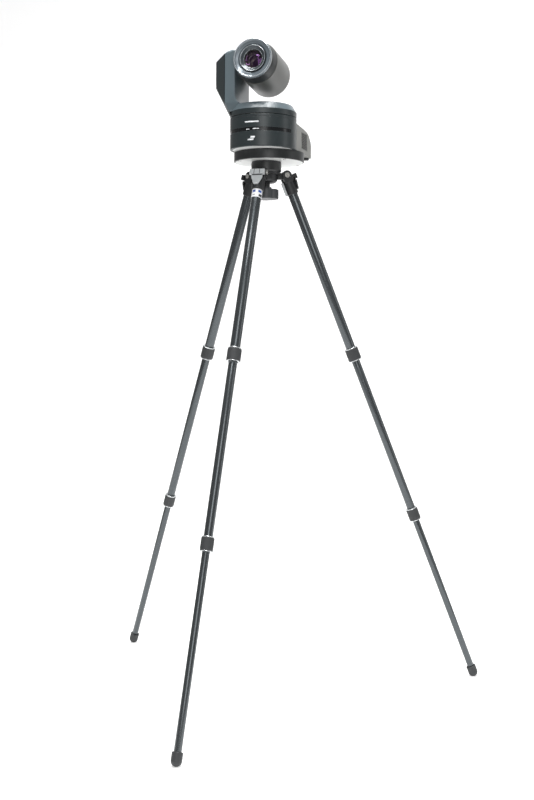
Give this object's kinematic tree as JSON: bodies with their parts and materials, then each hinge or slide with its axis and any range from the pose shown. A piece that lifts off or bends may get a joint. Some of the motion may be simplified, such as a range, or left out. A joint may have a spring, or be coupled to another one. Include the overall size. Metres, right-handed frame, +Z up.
{
  "type": "pan tilt webcam on tripod",
  "caption": "Motorised pan and tilt video camera on a folding tripod with telescoping twist-lock legs.",
  "frame": {"origin": "on the floor, under the middle of the bounding box, ahead of the tripod's axis by a quarter of a foot's reach", "axes": "+Z up, the lens and the front leg point to -Y, the camera's arm is on the -X side"},
  "size_m": [0.865, 0.752, 1.3772],
  "materials": {
    "cast_black": "fine textured black paint",
    "bolt_steel": "bright zinc",
    "silver_tab": "satin cast",
    "leg_tube": "dark anodised",
    "grip_rubber": "ribbed matt",
    "knob_plastic": "fine grain",
    "label_white": "gloss film",
    "drum_plastic": "fine grain",
    "turntable_paint": "satin paint",
    "housing_grey": "fine grain",
    "barrel_grey": "satin paint",
    "collar_black": "fine grain",
    "face_gloss": "gloss",
    "lens_black": "black anodised, turned",
    "lens_glass": "coated",
    "window_dark": "gloss",
    "lamp_clear": "frosted",
    "socket_metal": "plated",
    "board_green": "solder mask",
    "fan_black": "moulded",
    "gear_white": "moulded acetal",
    "motor_metal": "plated"
  },
  "bodies": {
    "spider": {"spider": "cast_black", "hinge_bolts": "bolt_steel"},
    "camera_base": {"platform": "cast_black", "platform_pad": "grip_rubber", "camera_screw": "bolt_steel", "base_drum": "drum_plastic", "slot_window": "window_dark", "rear_housing": "housing_grey", "vent_grilles": "housing_grey", "connector_panel": "drum_plastic", "network_socket": "socket_metal", "video_socket": "socket_metal", "power_inlet": "socket_metal", "bottom_chassis": "housing_grey", "main_board": "board_green", "fan_frame": "fan_black", "pan_bearing": "gear_white", "pan_motor": "motor_metal"},
    "clamp_knob": {"clamp_knob": "knob_plastic"},
    "fan_rotor": {"fan_rotor": "fan_black"},
    "pan_pinion": {"pan_pinion": "gear_white"},
    "pan_head": {"turntable": "turntable_paint", "arm_cover": "drum_plastic", "pan_gear": "gear_white", "tilt_motor": "motor_metal"},
    "tilt_pinion": {"tilt_pinion": "gear_white"},
    "barrel": {"barrel_shell": "barrel_grey", "front_collar": "collar_black", "face_ring": "face_gloss", "tally_lamp": "lamp_clear", "lens_barrel": "lens_black", "front_glass": "lens_glass", "sensor_board": "board_green", "tilt_shaft": "socket_metal", "tilt_gear": "gear_white"},
    "upper_leg_front": {"leg_casting_front": "cast_black", "upper_tube_front": "leg_tube", "label_band": "label_white"},
    "angle_lock_front": {"angle_lock_front": "silver_tab"},
    "middle_leg_front": {"middle_tube_front": "leg_tube"},
    "lower_leg_front": {"lower_tube_front": "leg_tube", "rubber_foot_front": "grip_rubber"},
    "upper_collar_front": {"upper_collar_front": "grip_rubber"},
    "lower_collar_front": {"lower_collar_front": "grip_rubber"},
    "upper_leg_right": {"leg_casting_right": "cast_black", "upper_tube_right": "leg_tube"},
    "angle_lock_right": {"angle_lock_right": "silver_tab"},
    "middle_leg_right": {"middle_tube_right": "leg_tube"},
    "lower_leg_right": {"lower_tube_right": "leg_tube", "rubber_foot_right": "grip_rubber"},
    "upper_collar_right": {"upper_collar_right": "grip_rubber"},
    "lower_collar_right": {"lower_collar_right": "grip_rubber"},
    "upper_leg_left": {"leg_casting_left": "cast_black", "upper_tube_left": "leg_tube"},
    "angle_lock_left": {"angle_lock_left": "silver_tab"},
    "middle_leg_left": {"middle_tube_left": "leg_tube"},
    "lower_leg_left": {"lower_tube_left": "leg_tube", "rubber_foot_left": "grip_rubber"},
    "upper_collar_left": {"upper_collar_left": "grip_rubber"},
    "lower_collar_left": {"lower_collar_left": "grip_rubber"}
  },
  "joints": [
    {"name": "platform_turn", "type": "hinge", "parent": "spider", "child": "camera_base", "pos_m": [0, 0.12183, 1.111], "axis": [0, 0, 1], "range_deg": [-180, 180]},
    {"name": "clamp_knob_turn", "type": "hinge", "parent": "camera_base", "child": "clamp_knob", "pos_m": [0, 0.12183, 1.071], "axis": [0, 0, 1], "range_deg": [0, 180]},
    {"name": "fan_spin", "type": "hinge", "parent": "camera_base", "child": "fan_rotor", "pos_m": [0.0593, 0.17533, 1.1777], "axis": [1, 0, 0], "continuous": true},
    {"name": "camera_pan", "type": "hinge", "parent": "camera_base", "child": "pan_head", "pos_m": [0, 0.09983, 1.2254], "axis": [0, 0, 1], "range_deg": [-175, 175]},
    {"name": "pan_pinion_turn", "type": "hinge", "parent": "camera_base", "child": "pan_pinion", "pos_m": [0.0423, 0.09983, 1.2084], "axis": [0, 0, 1], "range_deg": [-1060, 1060]},
    {"name": "camera_tilt", "type": "hinge", "parent": "pan_head", "child": "barrel", "pos_m": [0, 0.09983, 1.3271], "axis": [-1, 0, 0], "range_deg": [-32, 198]},
    {"name": "tilt_pinion_turn", "type": "hinge", "parent": "pan_head", "child": "tilt_pinion", "pos_m": [-0.063, 0.09983, 1.2968], "axis": [-1, 0, 0], "range_deg": [-800, 140]},
    {"name": "leg_spread_front", "type": "hinge", "parent": "spider", "child": "upper_leg_front", "pos_m": [0, 0.07933, 1.111], "axis": [-1, 0, 0], "range_deg": [-22, 43]},
    {"name": "angle_lock_pull_front", "type": "slide", "parent": "upper_leg_front", "child": "angle_lock_front", "axis": [0, -0.9272, 0.3746], "range_m": [0, 0.005]},
    {"name": "middle_section_slide_front", "type": "slide", "parent": "upper_leg_front", "child": "middle_leg_front", "axis": [0, 0.3746, 0.9272], "range_m": [0, 0.34]},
    {"name": "upper_collar_twist_front", "type": "hinge", "parent": "upper_leg_front", "child": "upper_collar_front", "pos_m": [0, -0.07426, 0.73086], "axis": [0, 0.3746, 0.9272], "range_deg": [0, 120]},
    {"name": "lower_section_slide_front", "type": "slide", "parent": "middle_leg_front", "child": "lower_leg_front", "axis": [0, 0.3746, 0.9272], "range_m": [0, 0.345]},
    {"name": "lower_collar_twist_front", "type": "hinge", "parent": "middle_leg_front", "child": "lower_collar_front", "pos_m": [0, -0.21773, 0.37574], "axis": [0, 0.3746, 0.9272], "range_deg": [0, 120]},
    {"name": "leg_spread_right", "type": "hinge", "parent": "spider", "child": "upper_leg_right", "pos_m": [0.03681, 0.14308, 1.111], "axis": [0.5, -0.866, 0], "range_deg": [-22, 43]},
    {"name": "angle_lock_pull_right", "type": "slide", "parent": "upper_leg_right", "child": "angle_lock_right", "axis": [0.803, 0.4636, 0.3746], "range_m": [0, 0.005]},
    {"name": "middle_section_slide_right", "type": "slide", "parent": "upper_leg_right", "child": "middle_leg_right", "axis": [-0.3244, -0.1873, 0.9272], "range_m": [0, 0.34]},
    {"name": "upper_collar_twist_right", "type": "hinge", "parent": "upper_leg_right", "child": "upper_collar_right", "pos_m": [0.16982, 0.21988, 0.73086], "axis": [-0.3244, -0.1873, 0.9272], "range_deg": [0, 120]},
    {"name": "lower_section_slide_right", "type": "slide", "parent": "middle_leg_right", "child": "lower_leg_right", "axis": [-0.3244, -0.1873, 0.9272], "range_m": [0, 0.345]},
    {"name": "lower_collar_twist_right", "type": "hinge", "parent": "middle_leg_right", "child": "lower_collar_right", "pos_m": [0.29407, 0.29162, 0.37574], "axis": [-0.3244, -0.1873, 0.9272], "range_deg": [0, 120]},
    {"name": "leg_spread_left", "type": "hinge", "parent": "spider", "child": "upper_leg_left", "pos_m": [-0.03681, 0.14308, 1.111], "axis": [0.5, 0.866, 0], "range_deg": [-22, 43]},
    {"name": "angle_lock_pull_left", "type": "slide", "parent": "upper_leg_left", "child": "angle_lock_left", "axis": [-0.803, 0.4636, 0.3746], "range_m": [0, 0.005]},
    {"name": "middle_section_slide_left", "type": "slide", "parent": "upper_leg_left", "child": "middle_leg_left", "axis": [0.3244, -0.1873, 0.9272], "range_m": [0, 0.34]},
    {"name": "upper_collar_twist_left", "type": "hinge", "parent": "upper_leg_left", "child": "upper_collar_left", "pos_m": [-0.16982, 0.21988, 0.73086], "axis": [0.3244, -0.1873, 0.9272], "range_deg": [0, 120]},
    {"name": "lower_section_slide_left", "type": "slide", "parent": "middle_leg_left", "child": "lower_leg_left", "axis": [0.3244, -0.1873, 0.9272], "range_m": [0, 0.345]},
    {"name": "lower_collar_twist_left", "type": "hinge", "parent": "middle_leg_left", "child": "lower_collar_left", "pos_m": [-0.29407, 0.29162, 0.37574], "axis": [0.3244, -0.1873, 0.9272], "range_deg": [0, 120]}
  ],
  "couplings": [
    {"joint": "pan_pinion_turn", "follows": "camera_pan", "ratio": -6},
    {"joint": "tilt_pinion_turn", "follows": "camera_tilt", "ratio": -4}
  ]
}
